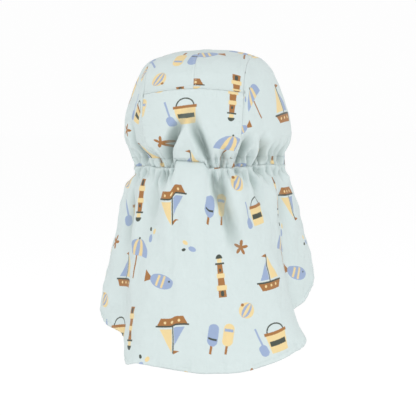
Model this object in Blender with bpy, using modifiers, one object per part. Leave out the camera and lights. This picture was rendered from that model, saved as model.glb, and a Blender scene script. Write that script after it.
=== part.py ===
"""A small child's legionnaire cap in thin woven cloth, in the shape that it has on a head.

Metres, +Z up, with the wearer facing -Y. The origin is the middle of the head opening, level with the seam
that joins the neck flap to the elastic casing. Angles are in degrees, go round the cap from the middle of the
back (+Y) and are positive towards the wearer's left (+X). A fold's height in a table is positive for a ridge
and negative for a valley.
"""

import math

import bmesh
import bpy
import numpy as np
from mathutils import Vector

# Driving sizes, in metres
RIM_WIDTH = 0.143
RIM_DEPTH = 0.160
CROWN_WIDTH = 0.158
CROWN_DEPTH = 0.176
CROWN_HEIGHT = 0.110
BULGE_HEIGHT = 0.032
CROWN_LEAN = 0.0016
CASING_HEIGHT = 0.009
CASING_WALL = 0.0020
CASING_BULGE = 0.0008
FRONT_STRIP_WIDTH = 0.097
BACK_SEAM_LEFT = 0.0535
BACK_SEAM_MIDDLE = 0.0010
BACK_SEAM_RIGHT = 0.0420
BACK_PANEL_TOP = 0.073
FRONT_PANEL_TOP = 0.070
SEAM_ARCH = 0.005
CROWN_CLOTH = 0.0012
FLAP_CLOTH = 0.0011
FLAP_LENGTH = 0.178
PEAK_LENGTH = 0.050
PEAK_THICKNESS = 0.0028
PEAK_DROOP = 0.013
PEAK_SIDE_DROOP = 0.012
PEAK_TUCK = 0.002
PEAK_SIDE_LENGTH = 0.004
SEAM_GAP = 0.0005
GATHER_DEPTH = 0.0075
FLAP_FOLD_DEPTH = 0.0085
RUFFLE_DEPTH = 0.0012

# Angles round the cap, in degrees
LEFT_SEAM_AT_RIM = 30.5
RIGHT_SEAM_AT_RIM = 24.0
FRONT_SEAM_AT_RIM = 36.0
FLAP_TO_PEAK = 8.0
RUFFLE_PITCH = 10.0
RUFFLE_END = 90.0
RUFFLE_FADE = 12.0

# Shares
TOP_LIFT = 0.12
FOLD_DEEPEST = 0.35
FOLD_SPREAD = 0.25
LIFT_LEVEL = 0.62
RUFFLE_REACH = 0.16
FLAP_RUFFLE_REACH = 0.10
LEAN_REACH = 0.50
PEAK_SWEEP = 0.45
PEAK_FLATNESS = 2.4
PEAK_ROUNDNESS = 0.75
PEAK_CURL = 1.5
PEAK_SPRING = 0.5

# How much closer the side panels' grid lines lie at the back and at the rim
SIDE_COLUMN_CROWDING = 1.35
SIDE_ROW_CROWDING = 1.2

# Each piece's grid. The casing's columns go all the way round, and the flap has the same columns.
CELLS = {
    # piece: columns, rows
    "crown_back": (30, 13),
    "crown_front": (12, 8),
    "crown_top_left": (6, 16),
    "crown_top_right": (6, 16),
    "crown_side_left": (34, 10),
    "crown_side_right": (34, 10),
    "elastic_casing": (120, 2),
    "neck_flap": (74, 10),
    "peak": (18, 5),
}

# How a side seam of the back or front panel swings from its place at the casing to its place at the top
SEAM_SWING = (
    # rise, swing
    (0.00, 0.00),
    (0.28, 0.46),
    (0.56, 0.66),
    (1.00, 1.00),
)

# How the small gathers stray from an even pitch: degrees of phase, and waves in each degree round the cap.
RUFFLE_STRAYS = (
    # phase, waves
    (70.0, 2.3),
    (50.0, 7.0),
)

# The crown's outline above its lower edge, as shares of its height and of its half width or depth
MERIDIAN = (
    # height, reach
    (0.000, 1.000),
    (0.160, 1.000),
    (0.300, 1.000),
    (0.400, 0.990),
    (0.510, 0.948),
    (0.630, 0.893),
    (0.740, 0.838),
    (0.810, 0.790),
    (0.862, 0.735),
    (0.908, 0.660),
    (0.945, 0.540),
    (0.975, 0.365),
    (0.994, 0.150),
    (1.000, 0.000),
)

# Folds that rise from the casing into the crown: height as a share of GATHER_DEPTH, reach as a share of
# CROWN_HEIGHT, and how many degrees the fold has moved at its upper end.
GATHERS = (
    # at, half_width, height, reach, lean
    (91.0, 8.0, -0.45, 0.20, 0.0),
    (77.0, 5.5, -0.50, 0.20, 0.0),
    (62.0, 6.0, 0.45, 0.24, 0.0),
    (47.0, 7.0, -0.85, 0.30, 0.0),
    (34.0, 5.5, 0.30, 0.30, 0.0),
    (20.0, 6.5, -0.90, 0.44, -10.0),
    (4.0, 9.0, 0.70, 0.44, 0.0),
    (-12.0, 6.5, -1.00, 0.44, 9.0),
    (-25.0, 6.0, 0.50, 0.32, 3.0),
    (-38.0, 5.5, -0.85, 0.29, 0.0),
    (-45.0, 4.0, 0.35, 0.26, 0.0),
    (-52.0, 4.5, -0.80, 0.26, 0.0),
    (-63.0, 4.5, -0.45, 0.18, 0.0),
    (-75.0, 5.0, -0.40, 0.15, 0.0),
    (-90.0, 8.0, 0.25, 0.24, 0.0),
)

# Folds that fall from the casing into the neck flap, in the same terms, with the reach as a share of
# FLAP_LENGTH and the height as a share of FLAP_FOLD_DEPTH.
FLAP_FOLDS = (
    # at, half_width, height, reach, lean
    (94.0, 6.0, -0.45, 0.45, 2.0),
    (78.0, 6.0, 0.40, 0.50, 2.0),
    (64.0, 6.0, -0.50, 0.70, 2.0),
    (47.0, 6.0, 0.55, 0.80, 1.0),
    (34.0, 7.5, -0.70, 0.42, 0.0),
    (20.0, 6.0, 0.35, 0.50, 1.0),
    (4.0, 10.0, 0.50, 0.50, 0.0),
    (-14.0, 7.0, -1.10, 0.62, -4.0),
    (-28.0, 6.5, 0.45, 0.45, -3.0),
    (-41.0, 5.0, -0.70, 0.30, -6.0),
    (-56.0, 7.0, 0.40, 0.55, -2.0),
    (-70.0, 5.0, -0.50, 0.60, -2.0),
    (-84.0, 8.0, 0.35, 0.20, 0.0),
    (-98.0, 5.0, -0.35, 0.40, 0.0),
)

# Where the seam between casing and flap rises, as a share of CASING_HEIGHT.
SEAM_LIFTS = (
    # at, half_width, lift
    (4.5, 13.5, 0.50),
    (45.0, 7.0, 0.12),
    (-27.0, 8.0, -0.06),
    (-62.0, 9.0, 0.10),
)

# The neck flap's hanging lines: the angle where each leaves the rim, where it meets the hem, as shares of the
# rim's half width and half depth, how far down that is, as a share of FLAP_LENGTH, and how early it swings
# out on the way down (above 1 near the rim, below 1 near the hem).
HANGING_LINES = (
    # rim_at, hem_x, hem_y, drop, swing
    (111.0, 1.06, -0.36, 0.22, 1.3),
    (108.5, 1.14, -0.33, 0.34, 1.3),
    (104.0, 1.24, -0.26, 0.46, 1.3),
    (97.0, 1.40, -0.08, 0.60, 1.3),
    (83.0, 1.48, 0.20, 0.735, 1.2),
    (70.0, 1.38, 0.40, 0.825, 1.2),
    (58.0, 1.07, 0.64, 0.87, 1.2),
    (46.0, 0.93, 1.15, 0.973, 0.9),
    (36.0, 0.71, 1.26, 0.962, 1.1),
    (24.0, 0.42, 1.31, 0.976, 1.2),
    (-8.0, -0.21, 1.38, 0.998, 1.3),
    (-32.0, -0.80, 1.31, 0.973, 1.1),
    (-45.0, -1.19, 1.10, 0.920, 0.8),
    (-54.0, -1.35, 0.82, 0.876, 0.6),
    (-66.0, -1.10, 0.35, 0.77, 0.9),
    (-75.0, -1.26, 0.14, 0.715, 1.1),
    (-85.0, -1.37, -0.05, 0.63, 1.1),
    (-97.0, -1.30, -0.24, 0.52, 1.3),
    (-104.0, -1.19, -0.32, 0.43, 1.3),
    (-108.5, -1.10, -0.36, 0.33, 1.3),
    (-111.0, -1.04, -0.38, 0.22, 1.3),
)

WELD = 1e-6
HEAD_MIDDLE = Vector((0.0, 0.0, CROWN_HEIGHT / 4))
BELOW_PEAK = Vector((0.0, -RIM_DEPTH / 2, -RIM_DEPTH))

CLOTH_COLOUR = (0.74, 0.82, 0.80, 1.0)
CASING_COLOUR = (0.70, 0.79, 0.77, 1.0)


def column(table, index):
    """One column of a table, as an array."""
    return np.array([row[index] for row in table], float)


def through(xs, ys, x):
    """The values at x of a smooth curve through the points (xs, ys), with xs rising."""
    xs, ys = np.asarray(xs, float), np.asarray(ys, float)
    slope = np.gradient(ys, xs)
    x = np.clip(x, xs[0], xs[-1])
    i = np.clip(np.searchsorted(xs, x) - 1, 0, len(xs) - 2)
    step = xs[i + 1] - xs[i]
    t = (x - xs[i]) / step
    start = ys[i] * (1 + 2 * t) * (1 - t) ** 2 + slope[i] * step * t * (1 - t) ** 2
    return start + ys[i + 1] * t * t * (3 - 2 * t) + slope[i + 1] * step * t * t * (t - 1)


def ease(t):
    """0 before t = 0, 1 after t = 1 and a smooth rise between."""
    t = np.clip(t, 0.0, 1.0)
    return t * t * (3 - 2 * t)


def rising(table):
    """The table's rows in rising order of their first column."""
    return sorted(table, key=lambda row: row[0])


# The crown's meridian, from its lower edge (0) to its top (1), by the length walked along it
HALF_WIDTH = CROWN_WIDTH / 2
HALF_DEPTH = CROWN_DEPTH / 2
LEGS = np.hypot(np.diff(column(MERIDIAN, 0)) * CROWN_HEIGHT, np.diff(column(MERIDIAN, 1)) * HALF_WIDTH)
WALKED = np.concatenate([[0.0], np.cumsum(LEGS)]) / LEGS.sum()
FINE_WALK = np.linspace(0.0, 1.0, 2001)
CASING_STEP = 360 / CELLS["elastic_casing"][0]
FLAP_HALF_ANGLE = CELLS["neck_flap"][0] / 2 * CASING_STEP


def height_of(walk):
    """How high a point of the meridian is."""
    return through(WALKED, column(MERIDIAN, 0), walk) * CROWN_HEIGHT


def reach_of(walk):
    """How far out a point of the meridian is, as a share of the crown's half width."""
    return through(WALKED, column(MERIDIAN, 1), walk)


def walk_at_height(height):
    """The point of the meridian that is this high."""
    return np.interp(height, height_of(FINE_WALK), FINE_WALK)


def walk_at_reach(reach):
    """The point of the crown's upper part that is this far out."""
    upper = FINE_WALK[FINE_WALK >= walk_at_height(BULGE_HEIGHT)]
    return np.interp(-reach, -reach_of(upper), upper)


def half_axes(walk):
    """The half width and half depth of the crown's plan at a point of the meridian."""
    reach = reach_of(walk)
    pull = 1 - ease(height_of(walk) / BULGE_HEIGHT)
    across = HALF_WIDTH * reach - (CROWN_WIDTH - RIM_WIDTH) / 2 * pull
    along = HALF_DEPTH * reach - (CROWN_DEPTH - RIM_DEPTH) / 2 * pull
    return np.maximum(across, WELD), np.maximum(along, WELD)


def crest(offset, half_width):
    """A rounded ridge of height 1 that ends half_width to either side."""
    t = np.clip(np.abs(offset) / half_width, 0.0, 1.0)
    return (1 - t * t) ** 2


def folds(table, angle, share, unit):
    """How far the folds of a table push the cloth out, share being how far it is from the casing."""
    out = np.zeros_like(angle)
    for at, half_width, height, reach, lean in table:
        along = np.clip(share / reach, 0.0, 1.0)
        swell = ease(along / FOLD_DEEPEST) * (1 - ease((along - FOLD_DEEPEST) / (1 - FOLD_DEEPEST)))
        spread = half_width * (1 + FOLD_SPREAD * along)
        out += height * unit * swell * crest(angle - at - lean * along, spread)
    return out


def ruffle(angle):
    """How far the small gathers at the elastic push the cloth out."""
    phase = 360 * angle / RUFFLE_PITCH
    for stray, waves in RUFFLE_STRAYS:
        phase = phase + stray * np.sin(np.radians(waves * angle))
    return RUFFLE_DEPTH * np.sin(np.radians(phase)) * (1 - ease((np.abs(angle) - RUFFLE_END) / RUFFLE_FADE))


def seam_lift(angle):
    """How far the seam under the casing rises above its usual level."""
    lift = np.zeros_like(angle)
    for at, half_width, share in SEAM_LIFTS:
        slope = (np.abs(angle - at) / half_width - LIFT_LEVEL) / (1 - LIFT_LEVEL)
        lift += share * CASING_HEIGHT * (1 - ease(slope))
    return lift


def outward(angle, across, along):
    """The horizontal direction that points out of the plan at an angle."""
    turn = np.radians(angle)
    x, y = np.sin(turn) / across, np.cos(turn) / along
    return x / np.hypot(x, y), y / np.hypot(x, y)


def pushed(angle, across, along, out):
    """Plan positions at an angle of the given oval, moved out by some distance."""
    turn = np.radians(angle)
    nx, ny = outward(angle, across, along)
    return across * np.sin(turn) + nx * out, along * np.cos(turn) + ny * out


def crown_skin(angle, walk):
    """The crown's outer surface at an angle and a point of the meridian."""
    across, along = half_axes(walk)
    height = height_of(walk)
    above = np.maximum(height - CASING_HEIGHT, 0.0) / CROWN_HEIGHT
    fading = 1 - ease(above / RUFFLE_REACH)
    out = ruffle(angle) * fading + folds(GATHERS, angle, above, GATHER_DEPTH)
    x, y = pushed(angle, across, along, out)
    x = x + CROWN_LEAN * ease(height / CROWN_HEIGHT / LEAN_REACH)
    return x, y, height + seam_lift(angle) * TOP_LIFT * fading


CASING_TOP_WALK = walk_at_height(CASING_HEIGHT + SEAM_GAP)


def across_back(share):
    """How far from the middle plane a line of the back panel is, share -1 at its right seam, 1 at its left."""
    return np.interp(share, (-1.0, 0.0, 1.0), (-BACK_SEAM_RIGHT, BACK_SEAM_MIDDLE, BACK_SEAM_LEFT))


def across_front(share):
    """How far from the middle plane a line of the front panel is."""
    return share * FRONT_STRIP_WIDTH / 2


def panel_top(share, level, across):
    """Angle and meridian point along a back or front panel's upper seam, share -1 to 1 across it."""
    walk = walk_at_height(level - SEAM_ARCH * share * share)
    angle = np.degrees(np.arcsin(across(share) / (HALF_WIDTH * reach_of(walk))))
    return angle, walk


def panel_point(share, rise, level, across, rim_angle):
    """Angle and meridian point inside a back or front panel, rise 0 at the casing and 1 at its upper seam."""
    top_angle, top_walk = panel_top(share, level, across)
    swing = through(column(SEAM_SWING, 0), column(SEAM_SWING, 1), rise)
    return rim_angle + (top_angle - rim_angle) * swing, CASING_TOP_WALK + (top_walk - CASING_TOP_WALK) * rise


def back_point(share, rise):
    """Angle and meridian point inside the back panel."""
    rim_angle = np.interp(share, (-1.0, 1.0), (-RIGHT_SEAM_AT_RIM, LEFT_SEAM_AT_RIM))
    return panel_point(share, rise, BACK_PANEL_TOP, across_back, rim_angle)


def front_point(share, rise):
    """Angle and meridian point inside the front panel, with the right side's angles above 180."""
    angle, walk = panel_point(share, rise, FRONT_PANEL_TOP, across_front, share * FRONT_SEAM_AT_RIM)
    return 180 - angle, walk


def top_line(share, along):
    """Angle and meridian point over the top, share -1 to 1 across, along going from 0 at the back to 1."""
    ends = []
    for level, across in ((BACK_PANEL_TOP, across_back), (FRONT_PANEL_TOP, across_front)):
        angle, walk = panel_top(share, level, across)
        ends.append(np.cos(np.radians(angle)) * reach_of(walk))
    swing = np.cos(np.pi * along)
    y = swing * (ends[0] * (1 + swing) + ends[1] * (1 - swing)) / 2
    x = (across_back(share) * (1 + swing) + across_front(share) * (1 - swing)) / 2 / HALF_WIDTH
    return np.degrees(np.arctan2(x, y)), walk_at_reach(np.hypot(x, y))


def side_point(u, v, side):
    """Angle and meridian point in a side panel, filled in between its four seams, u to the front and v up."""
    edge = side * np.ones_like(v)
    back = np.stack(back_point(edge, v))
    front = np.stack(front_point(edge, v))
    if side < 0:
        front[0] -= 360
    top = np.stack(top_line(edge, u))
    top_ends = np.stack(top_line(side * np.ones(2), np.array([0.0, 1.0])))
    top_chord = top_ends[:, :1] * (1 - u) + top_ends[:, 1:] * u
    return (1 - u) * back + u * front + v * (top - top_chord)


def inset(t, length):
    """t from 0 to 1 drawn in at both ends, so that the piece stops half a seam's gap short of its seams."""
    edge = SEAM_GAP / 2 / length
    return edge + t * (1 - 2 * edge)


def crown_back(u, v):
    at_rim = math.radians(LEFT_SEAM_AT_RIM + RIGHT_SEAM_AT_RIM) * RIM_WIDTH / 2
    return crown_skin(*back_point(2 * inset(u, at_rim) - 1, inset(v, BACK_PANEL_TOP)))


def crown_front(u, v):
    at_rim = math.radians(FRONT_SEAM_AT_RIM) * RIM_WIDTH
    return crown_skin(*front_point(2 * inset(u, at_rim) - 1, inset(v, FRONT_PANEL_TOP)))


def crown_top_left(u, v):
    return crown_skin(*top_line(inset(u, BACK_SEAM_LEFT), inset(v, CROWN_DEPTH)))


def crown_top_right(u, v):
    return crown_skin(*top_line(-inset(u, BACK_SEAM_RIGHT), inset(v, CROWN_DEPTH)))


def crown_side(u, v, side):
    across, up = u ** SIDE_COLUMN_CROWDING, v ** SIDE_ROW_CROWDING
    return crown_skin(*side_point(inset(across, CROWN_DEPTH), inset(up, BACK_PANEL_TOP), side))


def crown_side_left(u, v):
    return crown_side(u, v, 1)


def crown_side_right(u, v):
    return crown_side(u, v, -1)


def casing(u, v):
    """The band round the rim, u once round and v from its lower seam to its upper one."""
    angle = 180 - 360 * u
    across, along = half_axes(walk_at_height(v * CASING_HEIGHT))
    low = seam_lift(angle)
    high = CASING_HEIGHT + TOP_LIFT * low
    out = ruffle(angle) + CASING_BULGE * np.sin(np.pi * v)
    x, y = pushed(angle, across, along, out)
    return x, y, low + (high - low) * v


def flap(u, v):
    """The neck flap, u from the wearer's right to the left and v from the casing down to the hem."""
    lines = rising(HANGING_LINES)
    rim_at = column(lines, 0) / lines[-1][0] * FLAP_HALF_ANGLE
    angle = FLAP_HALF_ANGLE * (2 * u - 1)
    out = ruffle(angle) * (1 - ease(v / FLAP_RUFFLE_REACH)) + folds(FLAP_FOLDS, angle, v, FLAP_FOLD_DEPTH)
    top_x, top_y = pushed(angle, RIM_WIDTH / 2, RIM_DEPTH / 2, out)
    base_x, base_y = pushed(angle, RIM_WIDTH / 2, RIM_DEPTH / 2, 0.0)
    swing = 1 - (1 - v) ** through(rim_at, column(lines, 4), angle)
    x = top_x + (through(rim_at, column(lines, 1), angle) * RIM_WIDTH / 2 - base_x) * swing
    y = top_y + (through(rim_at, column(lines, 2), angle) * RIM_DEPTH / 2 - base_y) * swing
    drop = through(rim_at, column(lines, 3), angle) * FLAP_LENGTH
    start = seam_lift(angle) - SEAM_GAP
    return x, y, start - (drop + start) * v


def peak(u, v):
    """The peak's upper face, u from side to side and v from the casing outwards."""
    side = 2 * u - 1
    angle = 180 - (180 - FLAP_HALF_ANGLE - FLAP_TO_PEAK) * side
    rounding = (1 - np.abs(side) ** PEAK_FLATNESS) ** PEAK_ROUNDNESS
    reach = PEAK_SIDE_LENGTH + (PEAK_LENGTH - PEAK_SIDE_LENGTH) * rounding
    x, y = pushed(angle, RIM_WIDTH / 2, RIM_DEPTH / 2, 0.0)
    nx, ny = outward(angle, RIM_WIDTH / 2, RIM_DEPTH / 2)
    out = (reach + PEAK_TUCK) * v - PEAK_TUCK
    far = np.maximum(out, 0.0) / PEAK_LENGTH
    fall = PEAK_DROOP * far ** PEAK_CURL + PEAK_SIDE_DROOP * side ** 2 * ease(far / PEAK_SPRING)
    return x + nx * (out - PEAK_SWEEP * far * PEAK_LENGTH * np.abs(nx)), y + ny * out, -SEAM_GAP - fall


def material(name, colour):
    made = bpy.data.materials.new(name)
    made.use_nodes = True
    shader = made.node_tree.nodes["Principled BSDF"]
    shader.inputs["Base Color"].default_value = colour
    shader.inputs["Roughness"].default_value = 0.85
    shader.inputs["Metallic"].default_value = 0.0
    made.diffuse_color = colour
    return made


def sheet_mesh(name, surface, closed=False, inside=HEAD_MIDDLE):
    """A grid bent to a surface over u and v from 0 to 1, with its faces turned away from a point inside."""
    shape = bmesh.new()
    columns, rows = CELLS[name]
    bmesh.ops.create_grid(shape, x_segments=columns, y_segments=rows, size=0.5)
    uv = np.array([vertex.co[:2] for vertex in shape.verts]) + 0.5
    for vertex, place in zip(shape.verts, np.stack(surface(uv[:, 0], uv[:, 1]), axis=1)):
        vertex.co = place
    if closed:
        bmesh.ops.remove_doubles(shape, verts=shape.verts, dist=WELD)
    shape.normal_update()
    facing = 0.0
    for face in shape.faces:
        facing += face.normal.dot(face.calc_center_median() - inside) * face.calc_area()
    if facing < 0:
        bmesh.ops.reverse_faces(shape, faces=shape.faces)
    mesh = bpy.data.meshes.new(name)
    shape.to_mesh(mesh)
    shape.free()
    return mesh


def add_piece(collection, mesh, wall, finish):
    """An object whose sheet gets its wall from a Solidify modifier, on the side of the head."""
    piece = bpy.data.objects.new(mesh.name, mesh)
    collection.objects.link(piece)
    thicken = piece.modifiers.new("wall", "SOLIDIFY")
    thicken.thickness = wall
    thicken.offset = -1.0
    mesh.materials.append(finish)
    mesh.shade_smooth()
    mesh.set_sharp_from_angle(angle=math.radians(50))
    return piece


def main():
    for old in list(bpy.data.objects):
        bpy.data.objects.remove(old)
    cap = bpy.data.collections.new("legionnaire_cap")
    bpy.context.scene.collection.children.link(cap)
    cloth = material("printed_cloth", CLOTH_COLOUR)
    gathered = material("gathered_casing", CASING_COLOUR)

    for panel in (
        crown_back,
        crown_front,
        crown_top_left,
        crown_top_right,
        crown_side_left,
        crown_side_right,
    ):
        add_piece(cap, sheet_mesh(panel.__name__, panel), CROWN_CLOTH, cloth)
    add_piece(cap, sheet_mesh("elastic_casing", casing, closed=True), CASING_WALL, gathered)
    add_piece(cap, sheet_mesh("neck_flap", flap), FLAP_CLOTH, cloth)
    add_piece(cap, sheet_mesh("peak", peak, inside=BELOW_PEAK), PEAK_THICKNESS, cloth)


if __name__ == "__main__":
    main()
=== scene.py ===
"""The looks of a small child's legionnaire cap: crown of panels, gathered elastic, long neck flap, soft peak.

Metres, +Z up, the wearer facing -Y, the origin in the middle of the head opening. Angles are in degrees, go
round the cap from the middle of the back (+Y) and are positive towards the wearer's left (+X).
"""

import math
from functools import partial

import bmesh
import bpy
import numpy as np
from bpy.props import FloatProperty, FloatVectorProperty, PointerProperty
from mathutils import Matrix, Vector


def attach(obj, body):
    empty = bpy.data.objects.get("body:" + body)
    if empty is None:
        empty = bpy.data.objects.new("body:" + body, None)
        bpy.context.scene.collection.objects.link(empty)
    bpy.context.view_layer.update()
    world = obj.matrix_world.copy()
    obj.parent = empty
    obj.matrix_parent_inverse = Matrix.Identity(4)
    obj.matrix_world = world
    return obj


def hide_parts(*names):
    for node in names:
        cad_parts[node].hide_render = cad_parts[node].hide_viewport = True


bl_info = {
    "name": "Legionnaire cap",
    "version": (1, 0, 0),
    "blender": (4, 5, 0),
    "location": "3D View > Sidebar > Cap",
    "description": "Makes a small child's cloth cap with a gathered elastic and a neck flap",
    "category": "Add Mesh",
}

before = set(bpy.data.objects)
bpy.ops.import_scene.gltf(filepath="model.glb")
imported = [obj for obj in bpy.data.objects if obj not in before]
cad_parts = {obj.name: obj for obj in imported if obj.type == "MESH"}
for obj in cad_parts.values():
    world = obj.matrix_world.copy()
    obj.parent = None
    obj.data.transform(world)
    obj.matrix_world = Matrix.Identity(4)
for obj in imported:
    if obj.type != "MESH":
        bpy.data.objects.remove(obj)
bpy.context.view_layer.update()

# Tables of the cap's form

# The crown's outline above its lower edge, as shares of its height and of its half width or depth.
MERIDIAN = (
    # height, reach
    (0, 1), (0.16, 1), (0.3, 1), (0.4, 0.99), (0.51, 0.948), (0.63, 0.893), (0.74, 0.838),
    (0.81, 0.79), (0.862, 0.735), (0.908, 0.66), (0.945, 0.54), (0.975, 0.365), (0.994, 0.15), (1, 0),
)

# Folds that rise from the casing into the crown: where each is, in degrees, its height as a share of the fold
# depth, its reach as a share of the crown's height, and how far it has moved at its upper end.
CROWN_FOLDS = (
    # at, half_width, height, reach, lean
    (91, 8, -0.45, 0.2, 0),
    (77, 5.5, -0.5, 0.2, 0),
    (62, 6, 0.45, 0.24, 0),
    (48, 5.5, -1.7, 0.46, 6),
    (34, 5.5, 0.3, 0.3, 0),
    (25.5, 5, -1.45, 0.62, -25),
    (4, 8, -0.2, 0.42, 0),
    (-8.5, 4.8, -1.45, 0.62, 11.5),
    (-25, 6, 0.5, 0.32, 3),
    (-31, 5, -1.1, 0.33, -9),
    (-45, 4, 0.35, 0.26, 0),
    (-52, 4.5, -0.8, 0.26, 0),
    (-63, 4.5, -0.45, 0.18, 0),
    (-75, 5, -0.4, 0.15, 0),
    (-90, 8, 0.25, 0.24, 0),
)

# Folds that fall from the casing into the neck flap, with the reach as a share of the flap's length.
FLAP_FOLDS = (
    # at, half_width, height, reach, lean
    (94, 6, -0.45, 0.45, 2),
    (78, 6, 0.4, 0.5, 2),
    (61, 7, -0.95, 0.62, 2),
    (47, 6, 0.55, 0.8, 1),
    (34, 7.5, -0.7, 0.42, 0),
    (20, 6, 0.35, 0.5, 1),
    (4, 10, 0.5, 0.5, 0),
    (-13, 6.5, -1.2, 0.52, -17),
    (-28, 6.5, 0.45, 0.45, -3),
    (-41, 5, -0.7, 0.3, -6),
    (-56, 7, 0.4, 0.55, -2),
    (-70, 5, -0.5, 0.6, -2),
    (-84, 8, 0.35, 0.2, 0),
    (-98, 5, -0.35, 0.4, 0),
)

# The sharp gathers at the elastic: valleys that run up into the crown and down into the flap. The depth is a
# share of the gather depth, and the reaches are shares of the crown's height and the flap's length.
GATHERS = (
    # at, half_width, depth, reach_up, reach_down, lean_up, lean_down
    (-108, 4.2, 0.5, 0.14, 0.1, 0, 0),
    (-99, 3.6, 0.6, 0.16, 0.12, 1, -2),
    (-91, 3.8, 0.55, 0.12, 0.14, -1, 0),
    (-84, 3.1, 0.7, 0.2, 0.1, 2, 1),
    (-77, 3.6, 0.6, 0.15, 0.16, -2, -2),
    (-70.5, 3, 0.75, 0.18, 0.1, 1, 0),
    (-64.5, 3.1, 0.55, 0.13, 0.14, 0, -2),
    (-59, 2.6, 0.8, 0.17, 0.08, -3, 1),
    (-52.5, 2.8, 0.85, 0.18, 0.12, -2.5, -2),
    (-46.5, 3.1, 1, 0.26, 0.06, -4.5, -3),
    (-40.5, 2.2, 0.6, 0.1, 0.15, 2, -4),
    (-35, 2.2, 0.45, 0.08, 0.12, -2, -1),
    (-30.5, 3, 0.85, 0.24, 0.05, -8, -2),
    (-24, 2.2, 0.4, 0.07, 0.06, 0, 1),
    (-19, 2.6, 0.8, 0.13, 0.2, -2, 0),
    (-11, 3, 1, 0.3, 0.18, 7, -6),
    (19.5, 2.2, 0.6, 0.13, 0.05, -2, 0),
    (24, 3, 1, 0.34, 0.12, -13, 2),
    (27.5, 1.8, 0.6, 0.08, 0.08, 2, 1),
    (29.5, 1.8, 0.55, 0.1, 0.06, 5, 0),
    (32, 2.2, 0.6, 0.09, 0.14, 4, 2),
    (37.5, 2.8, 0.55, 0.12, 0.1, 2, 0),
    (43, 2.6, 0.8, 0.16, 0.07, 3, 1),
    (47.5, 3, 0.75, 0.18, 0.13, 4, 3),
    (57, 2.8, 0.6, 0.12, 0.1, 0, 0),
    (63.5, 3.3, 0.75, 0.19, 0.13, -2, 2),
    (71, 3.1, 0.6, 0.14, 0.09, 1, 0),
    (78, 3.6, 0.7, 0.18, 0.12, 0, 2),
    (85.5, 3.1, 0.55, 0.12, 0.14, -2, 0),
    (93, 3.8, 0.6, 0.17, 0.1, 1, 1),
    (101, 3.6, 0.5, 0.13, 0.12, 0, 0),
    (108.5, 4.1, 0.4, 0.12, 0.08, 0, 0),
)

# The raised pleat at the back, which the fine gathers leave smooth: its right and left ends.
SMOOTH_PLEAT = (-8, 17.5)

# Where the seam between casing and flap rises, as a share of the casing's height, and how much more it does
# at the left end than in the middle.
SEAM_LIFTS = (
    # at, half_width, lift, tilt
    (4.6, 13.8, 0.7, 0.24),
    (45, 7, 0.12, 0),
    (-27, 8, -0.06, 0),
    (-62, 9, 0.1, 0),
)

# The neck flap's hanging lines: the angle where each leaves the rim, where it meets the hem, as shares of the
# rim's half width and half depth, how far down that is, as a share of the flap's length, and how early it
# swings out on the way down (above 1 near the rim, below 1 near the hem).
HANGING_LINES = (
    # rim_at, hem_x, hem_y, drop, swing
    (-111, -1.04, -0.38, 0.22, 1.3),
    (-108.5, -1.1, -0.36, 0.33, 1.3),
    (-104, -1.19, -0.32, 0.43, 1.3),
    (-97, -1.3, -0.24, 0.52, 1.3),
    (-85, -1.37, -0.05, 0.63, 1.1),
    (-75, -1.26, 0.14, 0.715, 1.1),
    (-66, -1.1, 0.35, 0.77, 0.9),
    (-54, -1.35, 0.82, 0.876, 0.6),
    (-45, -1.19, 1.1, 0.92, 0.8),
    (-32, -0.8, 1.31, 0.973, 1.1),
    (-8, -0.21, 1.38, 0.998, 1.3),
    (24, 0.44, 1.32, 0.976, 1.2),
    (36, 0.76, 1.25, 0.962, 1.1),
    (46, 0.95, 1.12, 0.973, 0.9),
    (58, 1.07, 0.64, 0.87, 1.2),
    (70, 1.38, 0.4, 0.825, 1.2),
    (83, 1.48, 0.2, 0.735, 1.2),
    (97, 1.4, -0.08, 0.6, 1.3),
    (104, 1.24, -0.26, 0.46, 1.3),
    (108.5, 1.14, -0.33, 0.34, 1.3),
    (111, 1.06, -0.36, 0.22, 1.3),
)

# How the back and front panels' side seams swing to their angle at the top, as pairs of rise and swing.
SEAM_SWING = ((0, 0), (0.28, 0.46), (0.56, 0.66), (1, 1))

# A crown or flap fold is fullest at this share of its reach, and this much wider at its far end.
FOLD_FULLEST = 0.35
FOLD_SPREAD = 0.25

# How much of a gather's depth is there above and below the flap's seam, at which share of its reach all of it
# is there, where it starts to fade, and how much wider it is at its far end.
GATHER_START_UP = 0.65
GATHER_START_DOWN = 0.30
GATHER_FULL = 0.30
GATHER_FADE = 0.42
GATHER_SPREAD = 1.2

# How much of a gather's depth is its crease, and how sharp the crease is.
CREASE = 0.35
CREASE_POWER = 1.7

# Round the cap from the back, some things are whole up to an angle and then fade over some more degrees.
PUFF_REACH = (55, 35)
TUCK_REACH = (50, 40)
RISE_REACH = (45, 50)
PUCKER_REACH = (88, 12)

# The level part of a seam lift, how much of it the casing's upper seam shares, and how far up the crown that
# and the rise of the rim are gone, as shares of the crown's height.
LIFT_LEVEL = 0.70
LIFT_SHARE = 0.12
LIFT_FADE = 0.16
RISE_FADE = 0.45

# How fast the elastic's pull inwards fades with each height of the ruffle.
TUCK_FADE = 1.5

# How far the flap laps over the casing, how much more where its seam is lifted, and how soon that fades.
LAP = 0.0006
LIFTED_LAP = 0.0020
LAP_FADE = 0.009

# How far in from the usual surface a fold's bottom gets the full painted shade.
PAINTED_SHADE_DEPTH = 0.0080

# How far the waves of uneven cloth bend, and how fast they do across.
BEND = 1.3
BEND_RATE = 2.1

# Waves that make cloth uneven: how much of the whole each one is, its length in metres and its direction.
CRUMPLES = (
    # share, length, direction, phase
    (0.3, 0.061, 12, 0.4),
    (0.25, 0.043, 78, 2.1),
    (0.18, 0.029, -35, 4.4),
    (0.14, 0.021, 52, 1.3),
    (0.08, 0.0135, -70, 5.2),
    (0.05, 0.009, 20, 3),
)

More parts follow.
